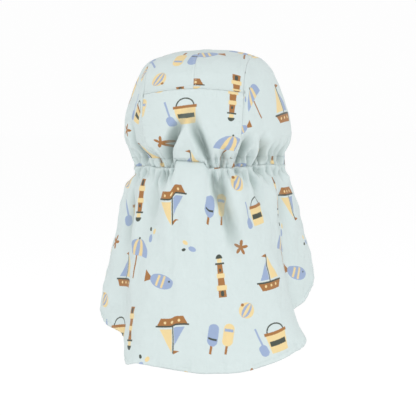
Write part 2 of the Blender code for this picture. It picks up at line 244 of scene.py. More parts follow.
# The small puckers along a line of stitches, in the same terms.
PUCKERS = (
    # share, length, phase
    (0.45, 0.0061, 0),
    (0.3, 0.0043, 1.9),
    (0.25, 0.0097, 4),
)

# The print. Each motif is drawn round its own middle, in millimetres, from flat shapes in one ink each.
# A bar, disc or dome is as wide and high as the row says. A wedge is a triangle with its point at the top,
# a tub is narrower at its foot by the share in its last column.
MOTIFS = {
    "sailboat": (
        # shape, ink, across, up, width, height, and where there are any, turn, share
        ("tub", "rust", 0, -10.5, 27, 7, 0, 0.3),
        ("bar", "dark", 0, -7.6, 28, 1.3),
        ("disc", "cream", -6, -10.6, 2.2, 2.2),
        ("disc", "cream", 0, -10.6, 2.2, 2.2),
        ("disc", "cream", 6, -10.6, 2.2, 2.2),
        ("bar", "dark", 0.6, 3.5, 1, 22),
        ("wedge", "cream", -5.6, 4, 10.5, 19, 0, 0.98),
        ("wedge", "blue", 6, 1.4, 9, 14, 0, -0.98),
        ("wedge", "rust", 3.4, 13.6, 3, 5, -90),
    ),
    "lighthouse": (
        ("tub", "rust", 0, -2, 6.4, 26, 180, 0.35),
        ("bar", "cream", 0, -7.5, 8, 4),
        ("bar", "cream", 0, 2, 6.4, 3.6),
        ("pill", "dark", 0, -12, 2.6, 4.6),
        ("bar", "dark", 0, 6.4, 1.6, 2.4),
        ("bar", "dark", 0, 11.6, 7.4, 1.4),
        ("bar", "cream", 0, 14, 3.6, 3.4),
        ("dome", "dark", 0, 15.6, 5.6, 3.4),
    ),
    "parasol": (
        ("bar", "rust", 0, -4, 1.4, 27),
        ("dome", "blue", 0, 1, 27, 13),
        ("dome", "cream", 0, 1, 13, 12.9),
        ("dome", "blue", 0, 1, 4.4, 12.8),
        ("disc", "dark", 0, 14.6, 1.8, 1.8),
    ),
    "lollies": (
        ("bar", "rust", -5.5, -9.5, 1.8, 8),
        ("pill", "cream", -5.5, 2, 8, 18),
        ("bar", "blue", -5.5, 5.6, 6.6, 2.2),
        ("bar", "rust", 6, -11.5, 1.8, 8),
        ("pill", "blue", 6, 0, 8, 18),
        ("bar", "dark", 6, -3.4, 6.6, 1.6),
    ),
    "pail": (
        ("ring", "dark", 0, 3.6, 14, 14, 0, 1.1),
        ("tub", "cream", 0, -4.5, 17.5, 15, 0, 0.24),
        ("bar", "dark", 0, -4.6, 13.2, 4),
        ("bar", "rust", 0, 3.3, 19, 2.4),
        ("bar", "blue", 14.2, 2.5, 1.5, 15, -14),
        ("pill", "blue", 12.2, -8.5, 6.4, 9.4, -14),
    ),
    "fish": (
        ("wedge", "rust", 11.5, 0, 10, 8.5, 90),
        ("disc", "blue", -1, 0, 22, 11.5),
        ("bar", "cream", 2.4, 0, 2, 9, 8),
        ("bar", "cream", -2.6, 0, 2, 10, 8),
        ("disc", "dark", -8, 1.6, 1.7, 1.7),
    ),
    "starfish": (("star", "rust", 0, 0, 12.5, 12.5, 10),),
    "pebbles": (
        ("disc", "blue", -4, -2, 6.4, 4, 12),
        ("disc", "dark", 3.2, -3, 3.4, 2.4, -20),
        ("disc", "cream", 1.6, 2.6, 4.6, 3.2, 30),
    ),
    "ball": (
        ("disc", "cream", 0, 0, 12.5, 12.5),
        ("disc", "blue", 0, 0, 6.4, 12.5, 35),
        ("disc", "cream", 0, 0, 2.4, 12.5, 35),
        ("disc", "rust", 3.3, 4.7, 2.4, 2.4),
    ),
}

# Where the motifs are in the repeat, as shares of its width and height, and how each is turned, in degrees.
REPEAT = (
    # motif, across, up, turn
    ("sailboat", 0.12, 0.2, 0),
    ("starfish", 0.28, 0.42, 0),
    ("lighthouse", 0.4, 0.19, -4),
    ("pebbles", 0.57, 0.4, 0),
    ("fish", 0.72, 0.16, 14),
    ("parasol", 0.9, 0.34, 8),
    ("pail", 0.14, 0.7, -6),
    ("lollies", 0.41, 0.74, 10),
    ("ball", 0.28, 0.93, 0),
    ("sailboat", 0.65, 0.73, 180),
    ("pebbles", 0.79, 0.53, 90),
    ("lighthouse", 0.9, 0.8, 182),
)

MOTIF_SCALE = 1.16

# The repeat's width and height, how soft an ink's edge is and how far it wanders, in millimetres.
REPEAT_SIZE = (186.0, 118.0)
INK_EDGE = 0.35
INK_WANDER = 0.5

# Where each piece lies on the printed cloth: metres across and up, and degrees turned.
CUTS = {
    "cloth_crown_back": (0.02, 0.032, 0),
    "cloth_crown_front": (0.11, 0.061, 0),
    "cloth_crown_top_left": (0.061, 0.013, 180),
    "cloth_crown_top_right": (0.15, 0.085, 0),
    "cloth_crown_side_left": (0.09, 0.02, 0),
    "cloth_crown_side_right": (0.033, 0.095, 0),
    "cloth_casing": (0.02, 0.032, 0),
    "cloth_flap": (0.094, 0.006, 0),
    "cloth_peak": (0.02, 0.08, 90),
}


# Settings that a user would change


def size(name, default, description):
    """A length property, in metres."""
    return FloatProperty(
        name=name, description=description, default=default, min=0.0, precision=5, unit="LENGTH"
    )


def turn(name, default, description):
    """An angle property, kept in degrees."""
    return FloatProperty(name=name, description=description, default=default)


def paint(name, default, description):
    """A colour property."""
    return FloatVectorProperty(
        name=name, description=description, default=default, size=3, min=0.0, max=1.0, subtype="COLOR"
    )


class CapSizes(bpy.types.PropertyGroup):
    """The cap's sizes"""

    rim_width: size("Rim width", 0.143, "Width of the head opening")
    rim_depth: size("Rim depth", 0.160, "Depth of the head opening from front to back")
    crown_width: size("Crown width", 0.158, "Width of the crown at its widest")
    crown_depth: size("Crown depth", 0.176, "Depth of the crown at its deepest")
    crown_height: size("Crown height", 0.1108, "Height of the crown above the flap's seam")
    bulge_height: size("Bulge height", 0.032, "Height at which the crown has reached its full width")
    crown_lean: size("Crown lean", 0.0016, "How far the crown leans to the wearer's left")
    strip_width: size("Strip width", 0.097, "Width of the strip over the top at the front")
    back_left: size("Left seam", 0.0496, "Distance of the left back seam from the middle plane")
    back_middle: size("Middle seam", 0.0, "Distance of the middle seam at the back from the middle plane")
    back_right: size("Right seam", 0.0434, "Distance of the right back seam from the middle plane")
    back_top: size("Back panel top", 0.0755, "Height of the back panel's upper seam")
    front_top: size("Front panel top", 0.070, "Height of the front panel's upper seam")
    seam_arch: size("Seam arch", 0.005, "How far the upper seams fall towards their ends")
    back_seam_left: turn("Left seam at rim", 27.0, "Angle of the left back seam at the rim")
    back_seam_right: turn("Right seam at rim", 24.0, "Angle of the right back seam at the rim")
    front_seam: turn("Front seam", 36.0, "Angle of the front panel's side seams at the rim, from the front")
    casing_height: size("Casing height", 0.009, "Height of the elastic casing")
    casing_puff: size("Casing puff", 0.0001, "How far the casing stands out between its stitches")
    fold_depth: size("Crown fold depth", 0.0075, "Depth of a full fold in the crown")
    flap_fold_depth: size("Flap fold depth", 0.0085, "Depth of a full fold in the neck flap")
    gather_depth: size("Gather depth", 0.0092, "Depth of the deepest small gather at the elastic")
    gather_end: turn("Gather end", 108.0, "Angle where the small gathers stop")
    ruffle_puff: size("Ruffle puff", 0.0026, "How far the cloth swells beside the elastic")
    ruffle_rise: size("Ruffle rise", 0.0120, "Distance from the elastic where the cloth swells most")
    rim_rise: size("Rim rise", 0.0034, "How far the elastic rises at the back")
    elastic_tuck: size("Elastic tuck", 0.0028, "How far the elastic pulls the back of the rim inwards")
    flap_length: size("Flap length", 0.178, "Length of the neck flap at its longest")
    flap_end: turn("Flap end", 111.0, "Angle of the neck flap's front edges")
    hem_width: size("Hem width", 0.0050, "Width of the narrow hem")
    peak_length: size("Peak length", 0.050, "How far the peak reaches forwards")
    cloth: size("Cloth", 0.0008, "Thickness of the cloth as it is drawn")
    crumple: size("Crumple", 0.0016, "Height of the cloth's broad unevenness")
    thread: size("Thread", 0.00034, "Thickness of the sewing thread")
    stitch: size("Stitch", 0.0026, "Length of one stitch and the gap after it")


class CapColours(bpy.types.PropertyGroup):
    """The cap's colours"""

    ground: paint("Ground", (0.662, 0.752, 0.744), "The cloth's pale mint ground")
    cream: paint("Cream ink", (0.860, 0.675, 0.345), "The print's cream yellow")
    blue: paint("Blue ink", (0.335, 0.430, 0.625), "The print's soft blue")
    rust: paint("Rust ink", (0.390, 0.175, 0.055), "The print's rust brown")
    dark: paint("Dark ink", (0.066, 0.080, 0.064), "The print's dark olive grey")
    thread: paint("Thread", (0.70, 0.79, 0.775), "The sewing thread")
    floor: paint("Floor", (0.93, 0.93, 0.93), "The studio floor")


# Curves and folds


def column(table, index):
    """One column of a table, as an array."""
    return np.array([row[index] for row in table], float)


def through(xs, ys, x):
    """The values at x of a smooth curve through the points (xs, ys), with xs rising."""
    slope = np.gradient(ys, xs)
    x = np.clip(x, xs[0], xs[-1])
    i = np.clip(np.searchsorted(xs, x) - 1, 0, len(xs) - 2)
    step = xs[i + 1] - xs[i]
    t = (x - xs[i]) / step
    start = ys[i] * (1 + 2 * t) * (1 - t) ** 2 + slope[i] * step * t * (1 - t) ** 2
    return start + ys[i + 1] * t * t * (3 - 2 * t) + slope[i + 1] * step * t * t * (t - 1)


def ease(t):
    """0 before t = 0, 1 after t = 1 and a smooth rise between."""
    t = np.clip(t, 0.0, 1.0)
    return t * t * (3 - 2 * t)


def crest(offset, half_width):
    """A rounded ridge of height 1 that ends half_width to either side."""
    t = np.clip(np.abs(offset) / half_width, 0.0, 1.0)
    return (1 - t * t) ** 2


def near_back(angle, reach):
    """1 at the back up to the first angle of reach, and a smooth fall to 0 over the second."""
    return 1 - ease((np.abs(angle) - reach[0]) / reach[1])


def folds(table, angle, share, unit):
    """How far the folds of a table push the cloth out, share being how far it is from the casing."""
    out = np.zeros_like(angle)
    for at, half_width, height, reach, lean in table:
        along = np.clip(share / reach, 0.0, 1.0)
        swell = ease(along / FOLD_FULLEST) * (1 - ease((along - FOLD_FULLEST) / (1 - FOLD_FULLEST)))
        spread = half_width * (1 + FOLD_SPREAD * along)
        out += height * unit * swell * crest(angle - at - lean * along, spread)
    return out


def valley(offset, half_width):
    """A valley of depth 1 with a slight crease at its bottom, which ends half_width to either side."""
    t = np.clip(np.abs(offset) / half_width, 0.0, 1.0)
    return (1 - CREASE) * (1 - t * t) ** 2 + CREASE * (1 - t) ** CREASE_POWER


def fine_gathers(seed, end, smooth):
    """Rows of small puckers like the gathers, the same each time, with none in a smooth stretch."""
    chance = np.random.default_rng(seed)
    rows = []
    at = -end
    while at < end:
        deep = chance.uniform(0.12, 0.48)
        reach = chance.uniform(0.04, 0.13, 2)
        lean = chance.uniform(-3.0, 3.0, 2)
        half_width = chance.uniform(0.8, 1.8)
        if not smooth[0] < at < smooth[1]:
            rows.append((at, half_width, deep, *reach, *lean))
        at += chance.uniform(1.3, 4.2)
    return rows


def crumple(x, y):
    """The broad unevenness of cloth at a place on it, from -1 to 1."""
    height = np.zeros_like(x)
    for share, length, direction, phase in CRUMPLES:
        way = math.radians(direction)
        along = (x * math.cos(way) + y * math.sin(way)) / length
        across = (y * math.cos(way) - x * math.sin(way)) / length
        height += share * np.sin(2 * np.pi * along + phase + BEND * np.sin(BEND_RATE * across + phase))
    return height


def pucker(length):
    """The small unevenness along a line of stitches, from -1 to 1."""
    return sum(share * np.sin(2 * np.pi * length / wave + phase) for share, wave, phase in PUCKERS)


def outward(angle, across, along):
    """The horizontal direction that points out of an oval at an angle."""
    x, y = np.sin(np.radians(angle)) / across, np.cos(np.radians(angle)) / along
    return x / np.hypot(x, y), y / np.hypot(x, y)


def pushed(angle, across, along, out):
    """Places on an oval at an angle, moved out by some distance."""
    nx, ny = outward(angle, across, along)
    return across * np.sin(np.radians(angle)) + nx * out, along * np.cos(np.radians(angle)) + ny * out


class CapForm:
    """The cap's surfaces. Each takes u and v from 0 to 1 and gives x, y, z and how far folds move it out."""

    def __init__(self, sizes):
        self.sizes = sizes
        legs = np.hypot(
            np.diff(column(MERIDIAN, 0)) * sizes.crown_height,
            np.diff(column(MERIDIAN, 1)) * sizes.crown_width / 2,
        )
        self.walked = np.concatenate([[0.0], np.cumsum(legs)]) / legs.sum()
        self.fine_walk = np.linspace(0.0, 1.0, 4001)
        self.gathers = [*GATHERS, *fine_gathers(11, sizes.gather_end, SMOOTH_PLEAT)]
        self.casing_top = self.walk_at_height(sizes.casing_height)
        self.flap_cloth = self.flat_flap()

    def height_of(self, walk):
        """How high a point of the meridian is, walk being how far along it the point is."""
        return through(self.walked, column(MERIDIAN, 0), walk) * self.sizes.crown_height

    def reach_of(self, walk):
        """How far out a point of the meridian is, as a share of the crown's half width."""
        return through(self.walked, column(MERIDIAN, 1), walk)

    def walk_at_height(self, height):
        return np.interp(height, self.height_of(self.fine_walk), self.fine_walk)

    def walk_at_reach(self, reach):
        upper = self.fine_walk[self.fine_walk >= self.walk_at_height(self.sizes.bulge_height)]
        return np.interp(-reach, -self.reach_of(upper), upper)

    def half_axes(self, walk):
        """The half width and half depth of the crown's plan at a point of the meridian."""
        s = self.sizes
        reach = self.reach_of(walk)
        pull = 1 - ease(self.height_of(walk) / s.bulge_height)
        across = s.crown_width / 2 * reach - (s.crown_width - s.rim_width) / 2 * pull
        along = s.crown_depth / 2 * reach - (s.crown_depth - s.rim_depth) / 2 * pull
        return np.maximum(across, 1e-6), np.maximum(along, 1e-6)

    def gathered(self, angle, length, upwards):
        """How far the small gathers push the cloth out, at some length above or below the flap's seam."""
        s = self.sizes
        out = np.zeros_like(angle)
        for at, half_width, deep, reach_up, reach_down, lean_up, lean_down in self.gathers:
            if upwards:
                reach, lean, start = s.casing_height + reach_up * s.crown_height, lean_up, GATHER_START_UP
            else:
                reach, lean, start = reach_down * s.flap_length, lean_down, GATHER_START_DOWN
            along = np.clip(length / reach, 0.0, 1.0)
            fade = 1 - ease((along - GATHER_FADE) / (1 - GATHER_FADE))
            fade = fade * (start + (1 - start) * ease(along / GATHER_FULL))
            out -= deep * fade * valley(angle - at - lean * along, half_width * (1 + GATHER_SPREAD * along))
        away = length / s.ruffle_rise
        puff = away * np.exp(1 - away) * near_back(angle, PUFF_REACH)
        return out * s.gather_depth + puff * s.ruffle_puff

    def tuck(self, angle, length):
        """How far the elastic pulls the cloth in, at some length above or below the flap's seam."""
        s = self.sizes
        return s.elastic_tuck * np.exp(-TUCK_FADE * length / s.ruffle_rise) * near_back(angle, TUCK_REACH)

    def crown_push(self, angle, height):
        """How far folds and gathers move the crown and the casing out at a height above the flap's seam."""
        s = self.sizes
        broad = folds(CROWN_FOLDS, angle, height / s.crown_height, s.fold_depth)
        return self.gathered(angle, height, True) + broad

    def rim_rise(self, angle):
        """How far the whole elastic rises at the back."""
        return self.sizes.rim_rise * near_back(angle, RISE_REACH)

    def seam_lift(self, angle):
        """How far the seam under the casing rises above its usual level."""
        lift = np.zeros_like(angle)
        for at, half_width, share, tilt in SEAM_LIFTS:
            place = np.clip((angle - at) / half_width, -1.0, 1.0)
            fade = 1 - ease((np.abs(place) - LIFT_LEVEL) / (1 - LIFT_LEVEL))
            lift += share * (1 + tilt * place) * fade
        return lift * self.sizes.casing_height

    def leaning(self, x, height):
        """Places across the cap, moved by the crown's lean at a height."""
        return x + self.sizes.crown_lean * ease(2 * height / self.sizes.crown_height)

    def crown_skin(self, angle, walk):
        """The crown's outer surface at an angle and a point of the meridian."""
        s = self.sizes
        across, along = self.half_axes(walk)
        height = self.height_of(walk)
        out = self.crown_push(angle, height)
        x, y = pushed(angle, across, along, out - self.tuck(angle, height))
        above = np.maximum(height - s.casing_height, 0.0) / s.crown_height
        lift = LIFT_SHARE * self.seam_lift(angle) * (1 - ease(above / LIFT_FADE))
        lift = lift + self.rim_rise(angle) * (1 - ease(above / RISE_FADE))
        return np.stack([self.leaning(x, height), y, height + lift, out], axis=-1)

    def across(self, share, front):
        """How far from the middle plane a line of the front or back panel is, share being -1 on the right."""
        s = self.sizes
        if front:
            return share * s.strip_width / 2
        return np.interp(share, [-1.0, 0.0, 1.0], [-s.back_right, s.back_middle, s.back_left])

    def panel_top(self, share, front):
        """Angle and meridian point along the front or back panel's upper seam, share -1 to 1 across it."""
        s = self.sizes
        level = s.front_top if front else s.back_top
        walk = self.walk_at_height(level - s.seam_arch * share * share)
        half_width = s.crown_width / 2 * self.reach_of(walk)
        return np.degrees(np.arcsin(self.across(share, front) / half_width)), walk

    def panel_point(self, share, rise, front):
        """Angle and meridian point inside the front or back panel, rise 0 at the casing and 1 at the top."""
        s = self.sizes
        seams = (s.front_seam, s.front_seam) if front else (s.back_seam_right, s.back_seam_left)
        rim_angle = np.interp(share, [-1.0, 1.0], [-seams[0], seams[1]])
        top_angle, top_walk = self.panel_top(share, front)
        swing = through(column(SEAM_SWING, 0), column(SEAM_SWING, 1), rise)
        angle = rim_angle + (top_angle - rim_angle) * swing
        walk = self.casing_top + (top_walk - self.casing_top) * rise
        return 180 - angle if front else angle, walk

    def top_line(self, share, along):
        """Angle and meridian point over the top, share -1 to 1 across and along 0 at the back to 1."""
        swing = np.cos(np.pi * along)
        x, y = 0.0, 0.0
        for front, weight in ((False, 1 + swing), (True, 1 - swing)):
            angle, walk = self.panel_top(share, front)
            x = x + weight * self.across(share, front) / self.sizes.crown_width
            y = y + weight * swing * np.cos(np.radians(angle)) * self.reach_of(walk) / 2
        return np.degrees(np.arctan2(x, y)), self.walk_at_reach(np.hypot(x, y))

    def panel(self, u, v, front):
        """The front or back panel, u from side to side and v upwards."""
        return self.crown_skin(*self.panel_point(2 * u - 1, v, front))

    def top(self, u, v, side):
        """One half of the strip over the top, u from the middle outwards and v from the back to the front."""
        return self.crown_skin(*self.top_line(side * u, v))

    def side(self, u, v, side):
        """A side panel, filled in between its four seams, u from the back to the front and v upwards."""
        edge = side * np.ones_like(v)
        back = np.stack(self.panel_point(edge, v, False))
        front = np.stack(self.panel_point(edge, v, True))
        front[0] = (front[0] + 180) % 360 - 180 if side < 0 else front[0]
        top = np.stack(self.top_line(edge, u))
        ends = np.stack(self.top_line(side * np.ones(2), np.array([0.0, 1.0])))
        chord = ends[:, :1] * (1 - u) + ends[:, 1:] * u
        return self.crown_skin(*((1 - u) * back + u * front + v * (top - chord)))

    def casing(self, u, v):
        """The band round the rim, u once round and v from its lower seam to its upper one."""
        s = self.sizes
        angle = 180 - 360 * u
        height = v * s.casing_height
        across, along = self.half_axes(self.walk_at_height(height))
        low = self.seam_lift(angle)
        out = self.crown_push(angle, height) + s.casing_puff * np.sin(np.pi * v)
        x, y = pushed(angle, across, along, out - self.tuck(angle, height))
        z = self.rim_rise(angle) + low + (s.casing_height + LIFT_SHARE * low - low) * v
        return np.stack([self.leaning(x, height), y, z, out], axis=-1)

    def flap(self, u, v):
        """The neck flap, u from the wearer's right to the left and v from the casing down to the hem."""
        s = self.sizes
        angle = s.flap_end * (2 * u - 1)
        length = v * s.flap_length

        def hanging(index):
            """A column of the hanging lines, at the angles."""
            return through(column(HANGING_LINES, 0), column(HANGING_LINES, index), angle)

        lap = LAP + LIFTED_LAP * self.seam_lift(angle) / s.casing_height
        out = self.gathered(angle, length, False) + folds(FLAP_FOLDS, angle, v, s.flap_fold_depth)
        out = out + lap * np.exp(-length / LAP_FADE)
        across, along = s.rim_width / 2, s.rim_depth / 2
        top_x, top_y = pushed(angle, across, along, out - self.tuck(angle, length))
        base_x, base_y = pushed(angle, across, along, 0.0)
        swing = 1 - (1 - v) ** hanging(4)
        x = top_x + (hanging(1) * across - base_x) * swing
        y = top_y + (hanging(2) * along - base_y) * swing
        start = self.rim_rise(angle) + self.seam_lift(angle) + LAP
        return np.stack([x, y, start - (hanging(3) * s.flap_length + start) * v, out], axis=-1)

    def flat_flap(self):
        """How the flap's cloth lies flat: places across it and lengths down it, for even steps of u."""
        u, v = np.meshgrid(np.linspace(0.0, 1.0, 241), np.linspace(0.0, 1.0, 61))
        place = self.flap(u, v)[..., :3]
        down = np.linalg.norm(np.diff(place, axis=0), axis=-1).sum(axis=0)
        # The row that the width is walked along, and how many columns to each side smooth the lengths
        row, reach = 44, 16
        steps = np.linalg.norm(np.diff(place[row], axis=0), axis=-1)
        across = np.concatenate([[0.0], np.cumsum(steps)])
        weights = np.exp(-np.linspace(-2.0, 2.0, 2 * reach + 1) ** 2)
        down = np.convolve(np.pad(down, reach, mode="edge"), weights / weights.sum(), mode="valid")
        return across - across.mean(), down

    def peak(self, u, v):
        """The peak's upper face, u from side to side and v from the casing outwards."""
        s = self.sizes
        # How many degrees the peak's ends stay from the flap, its least reach, and its reach under the casing
        space, least, under = 8.0, 0.004, 0.002
        # How far it falls at the casing, ahead and at its sides, and how much less than an oval it spreads
        drop, ahead, aside, straighter = 0.0005, 0.013, 0.012, 0.45
        side = 2 * u - 1
        angle = 180 - (180 - s.flap_end - space) * side
        reach = least + (s.peak_length - least) * (1 - np.abs(side) ** 2.4) ** 0.75
        x, y = pushed(angle, s.rim_width / 2, s.rim_depth / 2, 0.0)
        nx, ny = outward(angle, s.rim_width / 2, s.rim_depth / 2)
        out = (reach + under) * v - under
        far = np.maximum(out, 0.0) / s.peak_length
        fall = drop + ahead * far ** 1.5 + aside * side ** 2 * ease(2 * far)
        x = x + nx * (out - straighter * far * s.peak_length * np.abs(nx))
        return np.stack([x, y + ny * out, -fall, np.zeros_like(x)], axis=-1)


# Shader nodes


def operator(operation, swapped=False):
    """A method that joins a term and another value by a Math node, the other one first if swapped."""
    if swapped:
        return lambda term, other: term.nodes.maths(operation, other, term)
    return lambda term, other: term.nodes.maths(operation, term, other)


class Term:
    """A shader value or colour that Python's operators work on."""

    def __init__(self, nodes, socket):
        self.nodes = nodes
        self.socket = socket

    __add__ = operator("ADD")
    __radd__ = operator("ADD", swapped=True)
    __sub__ = operator("SUBTRACT")
    __rsub__ = operator("SUBTRACT", swapped=True)
    __mul__ = operator("MULTIPLY")
    __truediv__ = operator("DIVIDE")

    def __abs__(self):
        return self.nodes.maths("ABSOLUTE", self)

    def __neg__(self):
        return self * -1.0


class Finish:
    """A material and the nodes that its look is made of."""

    def __init__(self, name, swatch):
        self.material = bpy.data.materials.new(name)
        self.material.use_nodes = True
        self.material.diffuse_color = (*swatch, 1.0)
        self.tree = self.material.node_tree
        self.tree.nodes.clear()

    def node(self, kind, settings=None, **sockets):
        """A node of a type, with its settings made first and then its sockets' values or links."""
        made = self.tree.nodes.new(kind)
        for name, value in (settings or {}).items():
            setattr(made, name, value)
        for name, value in sockets.items():
            socket = made.inputs[int(name[1:])] if name[0] == "_" else made.inputs[name.replace("_", " ")]
            if isinstance(value, Term):
                self.tree.links.new(value.socket, socket)
            else:
                socket.default_value = value
        return made

    def term(self, kind, settings=None, output=0, **sockets):
        """An output of a node, the first if none is asked for."""
        return Term(self, self.node(kind, settings, **sockets).outputs[output])

    def maths(self, operation, *values, clamp=False):
        """A Math node on up to three values."""
        sockets = {f"_{i}": value for i, value in enumerate(values)}
        return self.term("ShaderNodeMath", {"operation": operation, "use_clamp": clamp}, **sockets)

    def most(self, a, b):
        return self.maths("MAXIMUM", a, b)

    def length(self, x, y):
        return self.maths("SQRT", x * x + y * y)

    def mix(self, factor, a, b):
        """Colour a where the factor is 0 and colour b where it is 1."""
        return self.term("ShaderNodeMix", {"data_type": "RGBA"}, 2, _0=factor, _6=a, _7=b)

    def split(self, vector):
        """A vector's three parts."""
        parts = self.node("ShaderNodeSeparateXYZ", Vector=vector)
        return [Term(self, socket) for socket in parts.outputs]

    def cloth_place(self):
        """The place on the flat cloth, in millimetres: across and up."""
        across, up = self.split(self.term("ShaderNodeUVMap", {"uv_map": "cloth"}))[:2]
        return across * 1000.0, up * 1000.0

    def noise(self, x, y, across, up, detail=2.0):
        """Soft noise from 0 to 1, with blobs of a size in millimetres across and up the cloth."""
        place = self.term("ShaderNodeCombineXYZ", X=x / across, Y=y / up)
        flat = {"noise_dimensions": "2D"}
        return self.term("ShaderNodeTexNoise", flat, Vector=place, Scale=1.0, Detail=detail)

    def attribute(self, name):
        return self.term("ShaderNodeAttribute", {"attribute_name": name}, "Fac")

    def shade(self, colour, roughness, height, depth, sheen):
        """Ends the material in cloth of a colour, roughness and relief, its depth being in metres."""
        shader = self.term(
            "ShaderNodeBsdfPrincipled",
            Base_Color=colour,
            Roughness=roughness,
            Specular_IOR_Level=0.30,
            Sheen_Weight=sheen,
            Sheen_Roughness=0.45,
            Normal=self.term("ShaderNodeBump", Strength=1.0, Distance=depth, Height=height),
        )
        self.node("ShaderNodeOutputMaterial", Surface=shader)
        return self.material


# The print


def bar(finish, x, y, width, height, share):
    """How far outside a rectangle a place is, in millimetres; less than 0 is inside."""
    return finish.most(abs(x) - width / 2, abs(y) - height / 2)


def pill(finish, x, y, width, height, share):
    """A bar with round ends."""
    return finish.length(x, finish.most(abs(y) - (height - width) / 2, 0.0)) - width / 2


def disc(finish, x, y, width, height, share):
    """An oval."""
    return finish.length(x, y * (width / height)) - width / 2


def ring(finish, x, y, width, height, share):
    """A circle's line, share being the line's thickness."""
    return abs(disc(finish, x, y, width, height, share)) - share / 2


def dome(finish, x, y, width, height, share):
    """The upper half of a disc, standing on its middle line."""
    return finish.most(disc(finish, x, y, width, 2 * height, share), -y)


def wedge(finish, x, y, width, height, share):
    """A triangle with its point at the top, moved right by the share of its half width."""
    fall = (height / 2 - y) * (width / 2 / height)
    middle = (y + height / 2) * (share * width / 2 / height)
    return finish.most(abs(x - middle) - fall, abs(y) - height / 2)


def tub(finish, x, y, width, height, share):
    """A bar whose foot is narrower than its top by a share."""
    half = width / 2 * (1 - share / 2) + y * (width / 2 * share / height)
    return finish.most(abs(x) - half, abs(y) - height / 2)


def star(finish, x, y, width, height, share):
    """Five round arms."""
    way = finish.maths("ARCTAN2", x, y)
    arms = finish.maths("COSINE", way * 5.0) * (0.17 * width) + 0.33 * width
    return finish.length(x, y) - arms


SHAPES = {shape.__name__: shape for shape in (bar, pill, disc, ring, dome, wedge, tub, star)}


def moved(x, y, across, up, degrees):
    """A place seen from a motif or shape that lies across and up and is turned by some degrees."""
    x, y = x - across, y - up
    if degrees == 0:
        return x, y
    c, s = math.cos(math.radians(degrees)), math.sin(math.radians(degrees))
    return x * c + y * s, y * c - x * s


def printed(finish, x, y, ground, inks):
    """The ground colour with the repeat printed over it."""
    width, height = REPEAT_SIZE
    wander = (finish.noise(x, y, 1.1, 1.1, 1.0) - 0.5) * INK_WANDER
    x = finish.maths("FLOORED_MODULO", x, width) + wander
    y = finish.maths("FLOORED_MODULO", y, height) + wander
    colour = ground
    for motif, across, up, degrees in REPEAT:
        mx, my = moved(x, y, across * width, up * height, degrees)
        mx, my = mx / MOTIF_SCALE, my / MOTIF_SCALE
        for shape, ink, dx, dy, wide, high, *rest in MOTIFS[motif]:
            turned, share = (*rest, 0, 0)[:2]
            px, py = moved(mx, my, dx, dy, turned)
            outside = SHAPES[shape](finish, px, py, wide, high, share)
            cover = finish.maths("MULTIPLY_ADD", outside, -1 / INK_EDGE, 0.5, clamp=True)
            colour = finish.mix(cover, colour, inks[ink])
    return colour


def opaque(colour):
    return (*colour, 1.0)


def cloth_finish(name, colours, cover=1.0):
    """The printed cloth: a fine plain weave with a slight sheen, slubs, creases, paler worn seams and painted
    shade in the folds' hollows.

    cover is how much of the ink shows, which is less on the inside.
    """
    finish = Finish(name, colours.ground)
    x, y = finish.cloth_place()
    inks = {}
    for ink in ("cream", "blue", "rust", "dark"):
        inks[ink] = opaque(Vector(colours.ground).lerp(Vector(getattr(colours, ink)), cover))
    # The last of these is the grey green of the painted shade in the folds' hollows.
    bleached, worn, painted_shade = (0.80, 0.88, 0.90, 1.0), (0.90, 0.95, 0.94, 1.0), (0.34, 0.41, 0.385, 1.0)
    slub_colour = opaque([0.9 * part for part in colours.ground])
    slub = finish.noise(x, y, 0.5, 16.0) + finish.noise(x, y, 13.0, 0.5)
    cloud = finish.noise(x, y, 42.0, 30.0, 3.0)
    threads = finish.maths("MULTIPLY_ADD", slub, 0.10, 0.0, clamp=True)
    ground = finish.mix(threads, opaque(colours.ground), slub_colour)
    ground = finish.mix(finish.maths("MULTIPLY", cloud, 0.12, clamp=True), ground, bleached)
    colour = printed(finish, x, y, ground, inks)
    colour = finish.mix(finish.attribute("seam") * 0.12, colour, worn)
    # Painted shade: where folds push the cloth in, its colour is darkened towards a grey green.
    colour = finish.mix(finish.attribute("painted_fold_shade") * 0.52, colour, painted_shade)
    roughness = finish.maths("MULTIPLY_ADD", slub, 0.10, 0.52, clamp=True)
    creases = finish.noise(x, y, 7.0, 11.0, 3.0) * 0.9 + finish.noise(x, y, 2.2, 2.2, 2.0) * 0.16
    thread_turn = 2 * math.pi / 0.42
    weave = finish.maths("SINE", x * thread_turn) * finish.maths("SINE", y * thread_turn)
    height = creases + slub * 0.05 + weave * 0.06
    return finish.shade(colour, roughness, height, depth=0.0008, sheen=0.12)


def thread_finish(name, colours):
    """The sewing thread: two plies twisted round each other, with painted shade between them."""
    finish = Finish(name, colours.thread)
    x, y, z = finish.split(finish.term("ShaderNodeTexCoord", output="Object"))
    ply_length = 0.0005
    twist = finish.maths("SINE", (x + y + z) * (2 * math.pi / ply_length))
    # Painted shade: a darker tone of the thread, mixed in along the twist, stands for the shade between the
    # plies.
    between = opaque([0.75 * part for part in colours.thread])
    colour = finish.mix(twist * 0.2 + 0.3, opaque(colours.thread), between)
    return finish.shade(colour, twist * 0.05 + 0.6, twist, depth=0.00004, sheen=0.25)


# Meshes


def new_mesh(name, shape):
    """A mesh from a bmesh, which it frees."""
    mesh = bpy.data.meshes.new(name)
    shape.to_mesh(mesh)
    shape.free()
    return mesh


def link(name, mesh, finish):
    """An object of the cap, with its finish, on the cap's one body."""
    piece = bpy.data.objects.new(name, mesh)
    bpy.context.scene.collection.objects.link(piece)
    mesh.materials.clear()
    mesh.materials.append(finish)
    mesh.shade_smooth()
    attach(piece, "root")
    return piece


